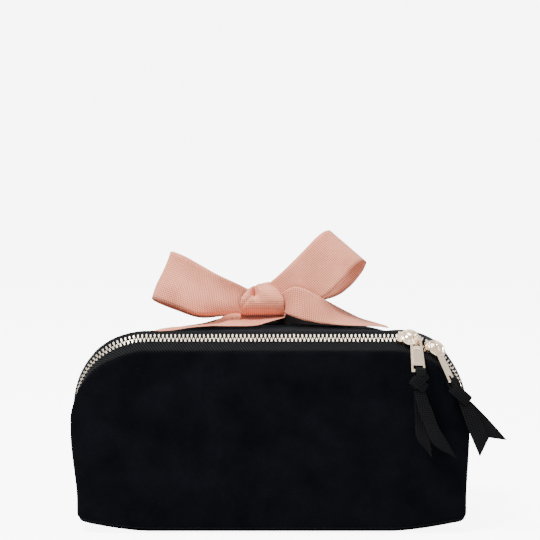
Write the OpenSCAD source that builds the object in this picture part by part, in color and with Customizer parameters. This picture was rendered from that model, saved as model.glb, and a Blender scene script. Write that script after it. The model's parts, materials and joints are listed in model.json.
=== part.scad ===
// Boxy velvet makeup bag. Millimetres, +Z up, front at -Y, origin at the centre of the base.
// A zip runs over the front shoulder, and the front flap folds down when it is open.

/* [Bag] */
// Width between the two side faces
bag_w = 258; // [240:1:280]
// Depth from the front face to the back face
bag_d = 110; // [100:1:130]
// Height of the top face
bag_h = 128; // [122:1:136]
// Radius of the two upper corners, seen from the front
corner_r = 51; // [48:1:54]
// Height of the line that the front flap folds about
fold_z = 46; // [44:1:48]
// Width of the slanted shoulder and of the rounded back edge
edge = 12; // [12:0.5:13]

/* [Cloth] */
// Thickness of the velvet panels
velvet_t = 1.6; // [1:0.1:1.8]
// Thickness of the foam behind the velvet
foam_t = 3; // [2:0.1:3.2]
// Thickness of the lining
lining_t = 0.8; // [0.4:0.1:1]
// Thickness of the stiff board in the base
board_t = 2; // [1:0.1:2.5]

/* [Zip] */
// Distance between the teeth of one row
tooth_pitch = 2.6; // [2.4:0.1:3]
// Thickness of the zip tape
tape_t = 0.7; // [0.5:0.1:0.8]
// Height of the chain line above the centre of the corner arcs
chain_r = 46.5; // [46:0.1:47]
// Distance of the chain line in front of the middle of the bag
chain_f = 47.6; // [47.4:0.1:47.8]
// Place of slider 1, as an angle round the right corner
slider_1_turn = 11.8; // [11:0.1:13]
// Place of slider 2, as an angle round the right corner
slider_2_turn = 33.6; // [33:0.1:36]
// Length of each slider
slider_l = 14; // [13:0.5:14]
// Length of each pull tab below its hinge line
pull_l = 24.9; // [24:0.1:26]

/* [Bow] */
// Width of the pink ribbon
ribbon_w = 31.5; // [30:0.5:32]
// Thickness of the pink ribbon, as a stiff stand-in for the cloth
ribbon_t = 1; // [0.8:0.1:1.2]

/* [Hidden] */
$fn = 96;

velvet_colour = "#101216";
foam_colour = "#d8d4cc";
lining_colour = "#24242a";
board_colour = "#a08660";
tape_colour = "#222226";
metal_colour = "#d9c3a8";
pink_colour = "#d7a697";
tassel_colour = "#1c1c1f";

seam = 0.1;
fold_gap = 0.15;
half_w = bag_w / 2;
half_d = bag_d / 2;
arc_x = half_w - corner_r;
arc_z = bag_h - corner_r;
core = corner_r - edge;
core_f = half_d - edge;
foam_in = velvet_t + seam;
lining_in = foam_in + foam_t + seam;
wall_in = lining_in + lining_t;
inner_trim = 3.5;
wall_low = velvet_t + seam;
arc_len = chain_r * PI / 2;
side_drop = arc_z - fold_z;
track_end = arc_x + arc_len + side_drop;
tape_inner = 1.3;
tape_front = 10.1;
tape_rear = 5.9;
tooth_w = 1.2;
tooth_t = 1.4;
tooth_reach = 0.7;
tooth_leg = 2.8;
spread = 2.2;
plate_gap = 1.2;
plate_t = 1.4;
pin_up = 4.3;
crown_w = 3;
bar_r = 0.65;
pull_t = 1.4;
slider_1_s = arc_x + chain_r * slider_1_turn * PI / 180;
slider_2_s = arc_x + chain_r * slider_2_turn * PI / 180;

// Unit vectors of a point on the right corner: along the chain, across it, and out of it.
function along(turn) = [cos(turn), 0, -sin(turn)];
function out(turn) = [sin(turn), -1, cos(turn)] / sqrt(2);
function chain_point(turn) = [arc_x + chain_r * sin(turn), -chain_f, arc_z + chain_r * cos(turn)];
function unit(v) = v / norm(v);

pin_1 = chain_point(slider_1_turn) + 4 * along(slider_1_turn) + pin_up * out(slider_1_turn);
pin_2 = chain_point(slider_2_turn) + pin_up * out(slider_2_turn);
hang_1 = unit([0.045, -0.57, -0.82]);
hang_2 = unit([0.385, -0.35, -0.854]);
bar_at = pull_l - 1;
eye_1 = pin_1 + bar_at * hang_1;
eye_2 = pin_2 + bar_at * hang_2;

// Places its child at a distance s along the chain from the top middle: x along the chain,
// y across it towards the back, z out of the bag.
module on_track(s) {
    side = s < 0 ? -1 : 1;
    past = max(0, abs(s) - arc_x);
    turn = min(90, past / chain_r * 180 / PI);
    drop = max(0, past - arc_len);
    translate([side * min(abs(s), arc_x), 0, arc_z - drop])
        rotate([0, side * turn, 0])
            translate([0, -chain_f, chain_r])
                rotate([45, 0, 0])
                    children();
}

// Sweeps a section over the top, round both corners and down both sides to the fold line.
// The section's x is the distance out from the corner centre and its y is the distance forwards.
module arch(gap = 0) {
    for (side = [0, 1])
        mirror([side, 0, 0])
            translate([arc_x, 0, arc_z]) {
                rotate([90, 0, 0])
                    rotate_extrude(angle = 90)
                        children();
                rotate([180, 0, 0])
                    linear_extrude(side_drop - gap)
                        children();
            }
    translate([-arc_x, 0, arc_z])
        rotate([180, -90, 0])
            linear_extrude(2 * arc_x)
                children();
}

// Section of everything inside a gusset surface that lies `inset` under the outer face.
module gusset_fill(inset, front) {
    translate([core, -core_f])
        square([edge - inset, core_f + front]);
    intersection() {
        translate([core, -core_f])
            circle(edge - inset);
        translate([core, -half_d])
            square(edge);
    }
}

module gusset_layer(outer, inner, front) {
    difference() {
        gusset_fill(outer, front);
        translate([-seam, 0])
            gusset_fill(inner - seam, front + seam);
    }
}

module side_fill(inset) {
    gusset_fill(inset, core_f);
    polygon([[core, core_f], [corner_r - inset, core_f], [core, half_d - inset]]);
}

module side_layer(side, outer, inner) {
    mirror([side < 0 ? 1 : 0, 0, 0])
        translate([arc_x, 0, fold_z - fold_gap])
            rotate([180, 0, 0])
                linear_extrude(fold_z - fold_gap - wall_low)
                    difference() {
                        side_fill(outer);
                        translate([-seam, 0])
                            side_fill(inner - seam);
                    }
}

// Arched outline with radius r about the corner centres, cut off below z_low.
module arched(r, z_low) {
    for (side = [-1, 1])
        intersection() {
            translate([side * arc_x, arc_z])
                circle(r);
            translate([side > 0 ? arc_x : -arc_x - r, arc_z])
                square([r, r]);
        }
    translate([-arc_x, z_low])
        square([2 * arc_x, arc_z + r - z_low]);
    translate([-arc_x - r, z_low])
        square([2 * (arc_x + r), arc_z - z_low]);
}

// A flat layer standing in the XZ plane between two depths.
module sheet_y(y_front, y_back) {
    translate([0, y_back, 0])
        rotate([90, 0, 0])
            linear_extrude(y_back - y_front)
                children();
}

module back_layer(outer, inner) {
    sheet_y(half_d - inner, half_d - outer)
        arched(core - seam, wall_low);
}

module flap_layer(outer, inner, trim) {
    sheet_y(-half_d + outer, -half_d + inner)
        arched(core - seam - trim, fold_z + fold_gap);
}

module lower_front_layer(outer, inner) {
    width = 2 * (arc_x + core - seam);
    translate([-width / 2, -half_d + outer, wall_low])
        cube([width, inner - outer, fold_z - fold_gap - wall_low]);
}

module base_plan(inset) {
    r_back = edge - inset;
    wide = 2 * (arc_x + core);
    translate([-wide / 2, -core_f])
        square([wide, bag_d - edge - inset]);
    for (side = [-1, 1])
        translate([side * wide / 2, core_f])
            circle(r_back);
    translate([-half_w + inset, -core_f])
        square([bag_w - 2 * inset, 2 * core_f]);
    polygon([
        [-half_w + inset, -core_f], [-wide / 2, -half_d + inset],
        [wide / 2, -half_d + inset], [half_w - inset, -core_f]
    ]);
}

module base_layer(z, t, inset) {
    translate([0, 0, z])
        linear_extrude(t)
            base_plan(inset);
}

module back_panel() {
    color(velvet_colour)
        back_layer(0, velvet_t);
}

module top_gusset() {
    color(velvet_colour)
        arch()
            gusset_layer(0, velvet_t, core_f);
}

module left_side_panel() {
    color(velvet_colour)
        side_layer(-1, 0, velvet_t);
}

module right_side_panel() {
    color(velvet_colour)
        side_layer(1, 0, velvet_t);
}

module bottom_panel() {
    color(velvet_colour)
        base_layer(0, velvet_t, 0);
}

module lower_front_panel() {
    color(velvet_colour)
        lower_front_layer(0, velvet_t);
}

module back_foam() {
    color(foam_colour)
        back_layer(foam_in, foam_in + foam_t);
}

module gusset_foam() {
    color(foam_colour)
        arch()
            gusset_layer(foam_in, foam_in + foam_t, core_f - inner_trim);
}

module left_side_foam() {
    color(foam_colour)
        side_layer(-1, foam_in, foam_in + foam_t);
}

module right_side_foam() {
    color(foam_colour)
        side_layer(1, foam_in, foam_in + foam_t);
}

module lower_front_foam() {
    color(foam_colour)
        lower_front_layer(foam_in, foam_in + foam_t);
}

module base_board() {
    color(board_colour)
        base_layer(wall_low, board_t, wall_in + seam);
}

module back_lining() {
    color(lining_colour)
        back_layer(lining_in, wall_in);
}

module gusset_lining() {
    color(lining_colour)
        arch()
            gusset_layer(lining_in, wall_in, core_f - inner_trim);
}

module left_side_lining() {
    color(lining_colour)
        side_layer(-1, lining_in, wall_in);
}

module right_side_lining() {
    color(lining_colour)
        side_layer(1, lining_in, wall_in);
}

module lower_front_lining() {
    color(lining_colour)
        lower_front_layer(lining_in, wall_in);
}

module bottom_lining() {
    color(lining_colour)
        base_layer(wall_low + board_t + seam, lining_t, wall_in + seam);
}

module flap_panel() {
    color(velvet_colour)
        flap_layer(0, velvet_t, 0);
}

module flap_foam() {
    color(foam_colour)
        flap_layer(foam_in, foam_in + foam_t, inner_trim);
}

module flap_lining() {
    color(lining_colour)
        flap_layer(lining_in, wall_in, inner_trim);
}

// Section of a tape between two distances across the chain, on the 45 degree shoulder.
module tape_section(from, to) {
    translate([chain_r, chain_f])
        rotate(-45)
            translate([from, -tape_t / 2])
                square([to - from, tape_t]);
}

module front_zip_tape() {
    color(tape_colour)
        arch(fold_gap)
            tape_section(-tape_front, -tape_inner);
}

module rear_zip_tape() {
    color(tape_colour)
        arch(fold_gap)
            tape_section(tape_inner, tape_rear);
}

// How far a row of teeth stands off the closed line: open between the two sliders only.
function opened(s) =
    spread * max(0, min(1, min((s - slider_1_s + 2) / 8, (slider_2_s + 2 - s) / 8)));

// One row of teeth. way is -1 for the front row and 1 for the rear row.
module tooth_row(way, first) {
    for (s = [first : tooth_pitch : track_end - 1])
        on_track(s)
            translate([0, way * ((tooth_leg - tooth_reach) / 2 + opened(s)), 0])
                cube([tooth_w, tooth_leg + tooth_reach, tooth_t], center = true);
}

module front_zip_teeth() {
    color(metal_colour)
        tooth_row(-1, -track_end + 1);
}

module rear_zip_teeth() {
    color(metal_colour)
        tooth_row(1, -track_end + 1 + tooth_pitch / 2);
}

module zip_stop(side) {
    color(metal_colour)
        on_track(side * (track_end + 2.4))
            translate([-1.5, -2.8, 0.2])
                cube([3, 5.6, 1.6]);
}

module left_zip_stop() {
    zip_stop(-1);
}

module right_zip_stop() {
    zip_stop(1);
}

// Puts its child in a slider's own frame. facing is 1 when the wide end points away from the top.
module on_slider(s, facing) {
    on_track(s)
        rotate([0, 0, facing > 0 ? 0 : 180])
            children();
}

module slider_plate() {
    half = slider_l / 2;
    linear_extrude(plate_t)
        polygon([
            [-half, -3.2], [1, -4.3], [5, -4.3], [half, -2.2],
            [half, 2.2], [5, 4.3], [1, 4.3], [-half, 3.2]
        ]);
}

// Two plates joined by the wedge that parts the rows of teeth.
module slider(s, facing) {
    half = slider_l / 2;
    color(metal_colour)
        on_slider(s, facing) {
            translate([0, 0, plate_gap])
                slider_plate();
            translate([0, 0, -plate_gap - plate_t])
                slider_plate();
            translate([0, 0, -plate_gap])
                linear_extrude(2 * plate_gap)
                    polygon([[half - 4, 0], [half - 0.2, -0.8], [half - 0.2, 0.8]]);
        }
}

module slider_1_body() {
    slider(slider_1_s, 1);
}

module slider_2_body() {
    slider(slider_2_s, -1);
}

// Turns a child whose x is the hinge line and whose -z hangs down to lie along the given vectors.
module hung(point, down, normal) {
    bar = unit(cross(normal, down));
    face = cross(down, bar);
    multmatrix([
        [bar.x, -face.x, -down.x, point.x],
        [bar.y, -face.y, -down.y, point.y],
        [bar.z, -face.z, -down.z, point.z]
    ])
        children();
}

// A round eye on the slider's top plate that the pull tab's top bar turns in.
module crown(point, down, turn) {
    color(metal_colour)
        intersection() {
            hung(point, down, out(turn))
                rotate([0, 90, 0])
                    difference() {
                        cylinder(r = 2.9, h = crown_w, center = true);
                        cylinder(r = 1.7, h = crown_w + 1, center = true);
                    }
            translate(chain_point(turn))
                rotate([0, turn, 0])
                    rotate([45, 0, 0])
                        translate([-10, -10, plate_gap + plate_t])
                            cube([20, 20, 10]);
        }
}

module slider_1_crown() {
    crown(pin_1, hang_1, slider_1_turn);
}

module slider_2_crown() {
    crown(pin_2, hang_2, slider_2_turn);
}

// A flat pull tab: round top bar, window, plain plate, slot and lower bar for the ribbon.
module pull(point, down, turn) {
    color(metal_colour)
        hung(point, down, out(turn)) {
            rotate([0, 90, 0])
                cylinder(r = bar_r, h = 7, center = true);
            sheet_y(-pull_t / 2, pull_t / 2)
                difference() {
                    polygon([[-3.5, 0], [-4.5, -pull_l], [4.5, -pull_l], [3.5, 0]]);
                    translate([-2.1, -6.5])
                        square([4.2, 7]);
                    translate([-2.7, -pull_l + 2])
                        square([5.4, 3]);
                }
        }
}

module pull_1() {
    pull(pin_1, hang_1, slider_1_turn);
}

module pull_2() {
    pull(pin_2, hang_2, slider_2_turn);
}

// The ribbon's loop round the pull's lower bar, with the knot below it.
module tassel_knot(eye, down, turn, outline, y_front, y_back) {
    color(tassel_colour) {
        hung(eye, down, out(turn))
            rotate([0, 90, 0])
                difference() {
                    cylinder(r = 2.3, h = 3.6, center = true);
                    cylinder(r = 1.6, h = 5, center = true);
                }
        sheet_y(y_front, y_back)
            polygon(outline);
    }
}

module tassel_1_knot() {
    tassel_knot(eye_1, hang_1, slider_1_turn,
        [[90, 102], [91.5, 103], [96, 103.2], [99.5, 100], [98.5, 92], [90.5, 92]], -67.2, -61);
}

module tassel_2_knot() {
    tassel_knot(eye_2, hang_2, slider_2_turn,
        [[112.6, 95], [114, 96.4], [118, 96], [127, 92], [127.6, 86], [120.5, 84.5], [113.5, 87.5]],
        -63, -57);
}

// A ribbon tail that hangs as a flat sheet.
module tail(outline, y_front) {
    color(tassel_colour)
        sheet_y(y_front, y_front + 0.8)
            polygon(outline);
}

module tassel_1_tail_a() {
    tail([[91.5, 91.9], [92.7, 61.5], [102, 49], [99.5, 68], [97, 91.9]], -65.6);
}

module tassel_1_tail_b() {
    tail([[93, 91.9], [98.4, 91.9], [102, 84], [105, 75], [110.5, 63], [118, 49],
        [104.5, 57], [98.5, 68]], -64);
}

module tassel_2_tail_a() {
    tail([[120.5, 84.4], [126, 70], [133.4, 49], [139.5, 62], [132, 76], [127.6, 85.9]], -61.6);
}

module tassel_2_tail_b() {
    tail([[127.7, 87], [136, 78], [143, 69.5], [150.5, 60], [137, 64.5], [131, 72],
        [127.7, 80]], -60);
}

// Closed outline of a bow loop, from the knot at x = 0 to the fold at x = length.
function loop_outline(length, fat, shift) = [
    for (a = [0 : 12 : 348])
        [shift + length * (1 - cos(a)) / 2, fat / 2 * sin(a) * pow(abs(sin(a / 2)), 0.6)]
];

module bow_loop(length, fat) {
    rim = ribbon_t;
    color(pink_colour)
        translate([0, 0, -ribbon_w / 2])
            linear_extrude(ribbon_w)
                difference() {
                    polygon(loop_outline(length, fat, 0));
                    polygon(loop_outline(length - 3.5 * rim, fat - 2.4 * rim, 2.5 * rim));
                }
}

module bow_left_loop() {
    translate([-21.5, 0, 147.5])
        mirror([1, 0, 0])
            rotate([0, -12, 0])
                bow_loop(52, 18);
}

module bow_right_loop() {
    translate([15.5, 0, 151])
        rotate([0, -38, 0])
            bow_loop(48, 20);
}

module bow_knot() {
    color(pink_colour)
        sheet_y(-8, 8)
            polygon([[-19, 137], [-16, 134.2], [3, 134.2], [6.5, 138], [5.5, 149],
                [2, 153.5], [-14, 153.5], [-19.5, 148]]);
}

// Black ribbon arch, sewn to the top, that the bow is tied through.
module bow_anchor_loop() {
    color(tassel_colour)
        translate([-6.5, 6, bag_h + seam])
            rotate([90, 0, 0])
                linear_extrude(12)
                    difference() {
                        polygon([[-17, 0], [-11, 5.9], [11, 5.9], [17, 0]]);
                        polygon([[-14, 1], [-10, 4.7], [10, 4.7], [14, 1]]);
                    }
}

// A ribbon as a strip between two edges, given as rows of [edge point, edge point].
module strip(rows, thick) {
    count = len(rows);
    points = [
        for (row = rows)
            each [row[0], row[1], row[1] + thick, row[0] + thick]
    ];
    walls = [
        for (i = [0 : count - 2])
            for (k = [0 : 3])
                let (a = 4 * i + k, b = 4 * i + (k + 1) % 4)
                    each [[a, b, b + 4], [a, b + 4, a + 4]]
    ];
    last = 4 * count - 4;
    ends = [
        [3, 2, 1], [3, 1, 0], [last, last + 1, last + 2], [last, last + 2, last + 3]
    ];
    color(pink_colour)
        polyhedron(points, concat(walls, ends));
}

module bow_left_tail() {
    strip([
        [[6, -10, 140], [6, -30, 136]],
        [[-10, -9, 133.5], [-10, -37, 131.5]],
        [[-28, -10, 129.2], [-28, -41, 128.8]],
        [[-56, -12, 128.4], [-74, -42, 128.4]]
    ], [0, 0, ribbon_t]);
}

module bow_right_tail() {
    strip([
        [[9.5, -7, 138], [10.5, 1, 147]],
        [[20, -9, 133], [20, 3, 141]],
        [[26, -9, 131.6], [26, 6, 135.5]],
        [[42, -8, 129.5], [42, 14, 142]],
        [[58, -6, 128.6], [58, 22, 134]],
        [[77, -2, 128.4], [66, 26, 129.2]]
    ], [0, 0, ribbon_t]);
}

back_panel();
top_gusset();
left_side_panel();
right_side_panel();
bottom_panel();
lower_front_panel();
back_foam();
gusset_foam();
left_side_foam();
right_side_foam();
lower_front_foam();
base_board();
back_lining();
gusset_lining();
left_side_lining();
right_side_lining();
lower_front_lining();
bottom_lining();
rear_zip_tape();
rear_zip_teeth();
left_zip_stop();
right_zip_stop();
bow_anchor_loop();
bow_left_loop();
bow_right_loop();
bow_knot();
bow_left_tail();
bow_right_tail();
flap_panel();
flap_foam();
flap_lining();
front_zip_tape();
front_zip_teeth();
slider_1_body();
slider_1_crown();
pull_1();
tassel_1_knot();
tassel_1_tail_a();
tassel_1_tail_b();
slider_2_body();
slider_2_crown();
pull_2();
tassel_2_knot();
tassel_2_tail_a();
tassel_2_tail_b();
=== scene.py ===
"""Looks for the velvet makeup bag: cloth body, zip, sliders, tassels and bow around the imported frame."""

import json
import math

import bpy
from mathutils import Matrix, Vector


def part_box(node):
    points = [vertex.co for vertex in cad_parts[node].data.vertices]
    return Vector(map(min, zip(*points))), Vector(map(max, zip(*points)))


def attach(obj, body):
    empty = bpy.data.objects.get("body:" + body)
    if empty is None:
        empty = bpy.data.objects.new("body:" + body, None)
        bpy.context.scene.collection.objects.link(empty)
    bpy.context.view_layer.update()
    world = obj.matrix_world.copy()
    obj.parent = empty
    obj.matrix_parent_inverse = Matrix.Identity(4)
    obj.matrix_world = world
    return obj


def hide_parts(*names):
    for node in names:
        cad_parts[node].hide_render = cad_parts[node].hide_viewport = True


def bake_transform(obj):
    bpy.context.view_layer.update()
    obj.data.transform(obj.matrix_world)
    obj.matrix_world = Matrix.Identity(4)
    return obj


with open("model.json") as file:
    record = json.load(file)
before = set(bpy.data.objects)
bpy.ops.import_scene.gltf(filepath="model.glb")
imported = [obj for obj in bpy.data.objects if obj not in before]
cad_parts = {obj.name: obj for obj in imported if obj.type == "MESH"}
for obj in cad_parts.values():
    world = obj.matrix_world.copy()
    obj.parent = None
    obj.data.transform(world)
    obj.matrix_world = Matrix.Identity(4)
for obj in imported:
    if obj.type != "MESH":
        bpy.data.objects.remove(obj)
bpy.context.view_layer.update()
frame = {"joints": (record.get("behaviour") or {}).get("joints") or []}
JOINTS = {j["name"]: j for j in frame["joints"]}

# ---------------- main sizes in metres, from the frame where it has them
MM = 0.001
_, GUSSET_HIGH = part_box("top_gusset")
HALF_W, TOP_Z = GUSSET_HIGH.x, GUSSET_HIGH.z
ARC_X, ARC_Y, ARC_Z = JOINTS["slider_2_travel"]["pos_m"]
CHAIN_DEPTH = -ARC_Y
FOLD_Y, FOLD_Z = JOINTS["flap_hinge"]["pos_m"][1:]
HALF_D = -FOLD_Y
FORWARD = Vector((0, -1, 0))

# The chain: its arc round each upper corner, its half length, and the sliders' places along it
CHAIN_R = 46.5 * MM
ARC_LEN = CHAIN_R * math.pi / 2
TRACK_END = ARC_X + ARC_LEN + ARC_Z - FOLD_Z
SLIDER_TURN = {1: math.radians(11.8), 2: math.radians(33.6)}
SLIDER_AT = {i: ARC_X + CHAIN_R * a for i, a in SLIDER_TURN.items()}

# Where the velvet is sewn to the tapes, measured across from the chain's middle
SEAM_FRONT = -10.5 * MM
SEAM_REAR = 6.4 * MM

TOOTH_PITCH = 2.6 * MM      # size 5 chain
OPEN_GAP = 2.2 * MM         # how far each row stands off the middle between the two sliders
WALL = 5.2 * MM             # velvet, foam and lining together
WELD_GAP = 0.02 * MM


def smooth(t):
    """0 to 1 with soft ends, for t from 0 to 1."""
    t = min(1.0, max(0.0, t))
    return t * t * (3 - 2 * t)


def ripple(x, y, z, seed=0.0):
    """A smooth wandering value from about -1 to 1 at a point, in metres."""
    a = math.sin(61 * x + 1.7 * seed + 2.1 * math.sin(43 * z + seed))
    b = math.sin(83 * z + 0.9 * seed + 1.6 * math.sin(57 * y - 31 * x + seed))
    c = math.sin(140 * x - 97 * z + 71 * y + 3.1 * seed)
    return 0.45 * a + 0.35 * b + 0.2 * c


# ---------------- materials
def new_material(name, **constants):
    """A material whose shader sockets named in constants hold plain values."""
    mat = bpy.data.materials.new(name)
    mat.use_nodes = True
    shader = mat.node_tree.nodes["Principled BSDF"]
    for key, value in constants.items():
        shader.inputs[key.replace("_", " ")].default_value = value
    return mat, mat.node_tree


def feed(tree, socket, value):
    """Joins a node's output to a socket of the material's shader."""
    tree.links.new(value, tree.nodes["Principled BSDF"].inputs[socket])


def node(tree, kind, **settings):
    """A shader node; settings that name an input are set there, the others on the node."""
    made = tree.nodes.new(kind)
    for key, value in settings.items():
        socket = key.replace("_", " ")
        if socket in made.inputs:
            made.inputs[socket].default_value = value
        else:
            setattr(made, key, value)
    return made


def noise(tree, coords, scale, detail=3.0, rough=0.5):
    made = node(tree, "ShaderNodeTexNoise", Scale=scale, Detail=detail, Roughness=rough)
    tree.links.new(coords, made.inputs["Vector"])
    return made.outputs["Fac"]


def colour_between(tree, factor, low, high, start=0.3, stop=0.7):
    ramp = tree.nodes.new("ShaderNodeValToRGB")
    ramp.color_ramp.elements[0].position = start
    ramp.color_ramp.elements[1].position = stop
    ramp.color_ramp.elements[0].color = (*low, 1)
    ramp.color_ramp.elements[1].color = (*high, 1)
    tree.links.new(factor, ramp.inputs["Fac"])
    return ramp.outputs["Color"]


def maths(tree, operation, a, b=0.0):
    made = node(tree, "ShaderNodeMath", operation=operation)
    for value, socket in ((a, made.inputs[0]), (b, made.inputs[1])):
        if isinstance(value, (int, float)):
            socket.default_value = value
        else:
            tree.links.new(value, socket)
    return made.outputs["Value"]


def mixture(tree, a, share_a, b, share_b):
    """The sum of two values, each times its share."""
    return maths(tree, "ADD", maths(tree, "MULTIPLY", a, share_a), maths(tree, "MULTIPLY", b, share_b))


def bump(tree, height, distance, strength=1.0, under=None):
    made = node(tree, "ShaderNodeBump", Strength=strength, Distance=distance)
    tree.links.new(height, made.inputs["Height"])
    if under is not None:
        tree.links.new(under, made.inputs["Normal"])
    return made.outputs["Normal"]


def waves(tree, coords, scale, direction="X", profile="SIN", distortion=0.0):
    made = node(tree, "ShaderNodeTexWave", wave_type="BANDS", bands_direction=direction,
                wave_profile=profile, Scale=scale, Distortion=distortion)
    tree.links.new(coords, made.inputs["Vector"])
    return made.outputs["Fac"]


def coordinates(tree, kind):
    return tree.nodes.new("ShaderNodeTexCoord").outputs[kind]


def turned(tree, coords, angle):
    """The coordinates turned about Z, for a weave that runs on the slant."""
    made = node(tree, "ShaderNodeMapping")
    made.inputs["Rotation"].default_value = (0, 0, angle)
    tree.links.new(coords, made.inputs["Vector"])
    return made.outputs["Vector"]


def velvet_material():
    mat, tree = new_material(
        "velvet", Roughness=0.95, Sheen_Weight=0.09, Sheen_Roughness=0.35,
        Sheen_Tint=(0.75, 0.80, 0.92, 1), Specular_IOR_Level=0.02)
    place = coordinates(tree, "Object")
    crush = noise(tree, place, 38, 5, 0.62)
    pile = noise(tree, place, 1900, 2, 0.6)
    nap = noise(tree, place, 210, 4, 0.6)
    mixed = maths(tree, "ADD", crush, maths(tree, "MULTIPLY", pile, 0.30))
    dark, light = (0.0010, 0.0012, 0.0018), (0.0028, 0.0033, 0.0046)
    tone = colour_between(tree, mixed, dark, light, 0.45, 0.85)
    feed(tree, "Base Color", tone)
    soft = bump(tree, nap, 0.0005, 0.35)
    feed(tree, "Normal", bump(tree, pile, 0.00025, 0.8, soft))
    return mat


def tape_material():
    mat, tree = new_material(
        "zip_tape", Roughness=0.8, Sheen_Weight=0.03, Sheen_Roughness=0.4,
        Specular_IOR_Level=0.03)
    place = coordinates(tree, "UV")
    twill = waves(tree, turned(tree, place, math.radians(32)), 195)
    thread = waves(tree, place, 420, "Y")
    weave = mixture(tree, twill, 0.7, thread, 0.3)
    dark, light = (0.0004, 0.0004, 0.0005), (0.015, 0.0155, 0.0165)
    tone = colour_between(tree, weave, dark, light, 0.15, 0.95)
    feed(tree, "Base Color", tone)
    feed(tree, "Normal", bump(tree, weave, 0.00018, 0.9))
    return mat


def grosgrain_material(name, dark, light, rib_scale, sheen, rough, shine):
    """Ribbed ribbon: ribs across its width, crossed by a finer thread, with a slow drift of tone."""
    mat, tree = new_material(
        name, Roughness=rough, Sheen_Weight=sheen, Sheen_Roughness=0.45,
        Specular_IOR_Level=shine)
    place = coordinates(tree, "UV")
    ribs = waves(tree, place, rib_scale, "X")
    cross = waves(tree, place, rib_scale * 0.9, "Y")
    drift = noise(tree, place, 55, 3, 0.5)
    weave = mixture(tree, ribs, 0.55, cross, 0.45)
    factor = mixture(tree, weave, 0.75, drift, 0.45)
    tone = colour_between(tree, factor, dark, light, 0.2, 0.95)
    feed(tree, "Base Color", tone)
    feed(tree, "Normal", bump(tree, weave, 0.00022, 0.8))
    return mat


def metal_material(name, colour, rough):
    mat, tree = new_material(name, Metallic=1.0)
    place = coordinates(tree, "Object")
    rub = noise(tree, place, 260, 4, 0.6)
    grain = noise(tree, place, 2200, 2, 0.5)
    dull = tuple(c * 0.9 for c in colour)
    feed(tree, "Base Color", colour_between(tree, rub, dull, colour, 0.3, 0.6))
    spread = node(tree, "ShaderNodeMapRange")
    spread.inputs["To Min"].default_value = rough * 0.85
    spread.inputs["To Max"].default_value = rough * 1.2
    tree.links.new(rub, spread.inputs["Value"])
    feed(tree, "Roughness", spread.outputs["Result"])
    feed(tree, "Normal", bump(tree, grain, 0.00003, 0.25))
    return mat


def lining_material():
    mat, tree = new_material(
        "lining", Roughness=0.6, Sheen_Weight=0.1, Specular_IOR_Level=0.35)
    place = coordinates(tree, "UV")
    warp = waves(tree, place, 600, "X")
    weft = waves(tree, place, 600, "Y")
    weave = maths(tree, "MULTIPLY", warp, weft)
    drift = noise(tree, place, 30, 4, 0.55)
    tone = maths(tree, "ADD", maths(tree, "MULTIPLY", weave, 0.3), drift)
    dark, light = (0.012, 0.012, 0.015), (0.030, 0.030, 0.036)
    feed(tree, "Base Color", colour_between(tree, tone, dark, light))
    feed(tree, "Normal", bump(tree, weave, 0.0001, 0.5))
    return mat


def plain_soft_material(name, dark, light, scale):
    mat, tree = new_material(name, Roughness=0.9)
    place = coordinates(tree, "Object")
    grain = noise(tree, place, scale, 5, 0.6)
    feed(tree, "Base Color", colour_between(tree, grain, dark, light))
    feed(tree, "Normal", bump(tree, grain, 0.0003, 0.5))
    return mat


MATS = {
    "velvet": velvet_material(),
    "tape": tape_material(),
    "pink": grosgrain_material("pink_ribbon", (0.36, 0.085, 0.042), (1.0, 0.41, 0.265),
                               rib_scale=270, sheen=0.12, rough=0.6, shine=0.2),
    "black": grosgrain_material("black_ribbon", (0.0003, 0.0003, 0.0004), (0.0085, 0.0085, 0.0095),
                                rib_scale=215, sheen=0.01, rough=0.7, shine=0.03),
    "teeth": metal_material("zip_metal", (1.0, 0.90, 0.76), 0.24),
    "metal": metal_material("pull_metal", (1.0, 0.81, 0.60), 0.16),
    "lining": lining_material(),
    "foam": plain_soft_material("foam", (0.52, 0.49, 0.45), (0.68, 0.65, 0.60), 900),
    "board": plain_soft_material("board", (0.20, 0.14, 0.08), (0.34, 0.25, 0.15), 500),
}


# ---------------- mesh helpers
def linked(name, data):
    """A new object around the data, in the scene."""
    made = bpy.data.objects.new(name, data)
    bpy.context.scene.collection.objects.link(made)
    return made


def add_mesh(name, points, faces, mat, uvs=None):
    mesh = bpy.data.meshes.new(name)
    mesh.from_pydata([tuple(p) for p in points], [], faces)
    if uvs is not None:
        layer = mesh.uv_layers.new(name="UVMap")
        for loop in mesh.loops:
            layer.data[loop.index].uv = uvs[loop.vertex_index]
    mesh.polygons.foreach_set("use_smooth", [True] * len(mesh.polygons))
    mesh.update()
    mesh.materials.append(mat)
    return linked(name, mesh)


def grid_piece(name, rows, mat, close_rows=False, close_cols=False):
    """A sheet through rows of points. close_rows joins the last row to the first, close_cols each row's
    last point to its first."""
    count, width = len(rows), len(rows[0])
    points = [p for row in rows for p in row]
    row_end = count if close_rows else count - 1
    col_end = width if close_cols else width - 1
    faces = []
    for i in range(row_end):
        row, above = i * width, (i + 1) % count * width
        for j in range(col_end):
            beside = (j + 1) % width
            faces.append((row + j, row + beside, above + beside, above + j))
    uvs = []
    along = 0.0
    for i, row in enumerate(rows):
        if i:
            along += (Vector(row[width // 2]) - Vector(rows[i - 1][width // 2])).length
        across = 0.0
        for j, p in enumerate(row):
            if j:
                across += (Vector(p) - Vector(row[j - 1])).length
            uvs.append((along, across))
    return add_mesh(name, points, faces, mat, uvs)


def modifier(piece, kind, **settings):
    made = piece.modifiers.new(kind.lower(), kind)
    for key, value in settings.items():
        setattr(made, key, value)
    return piece


def thicken(piece, thickness, offset=0.0):
    return modifier(piece, "SOLIDIFY", thickness=thickness, offset=offset)


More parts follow.
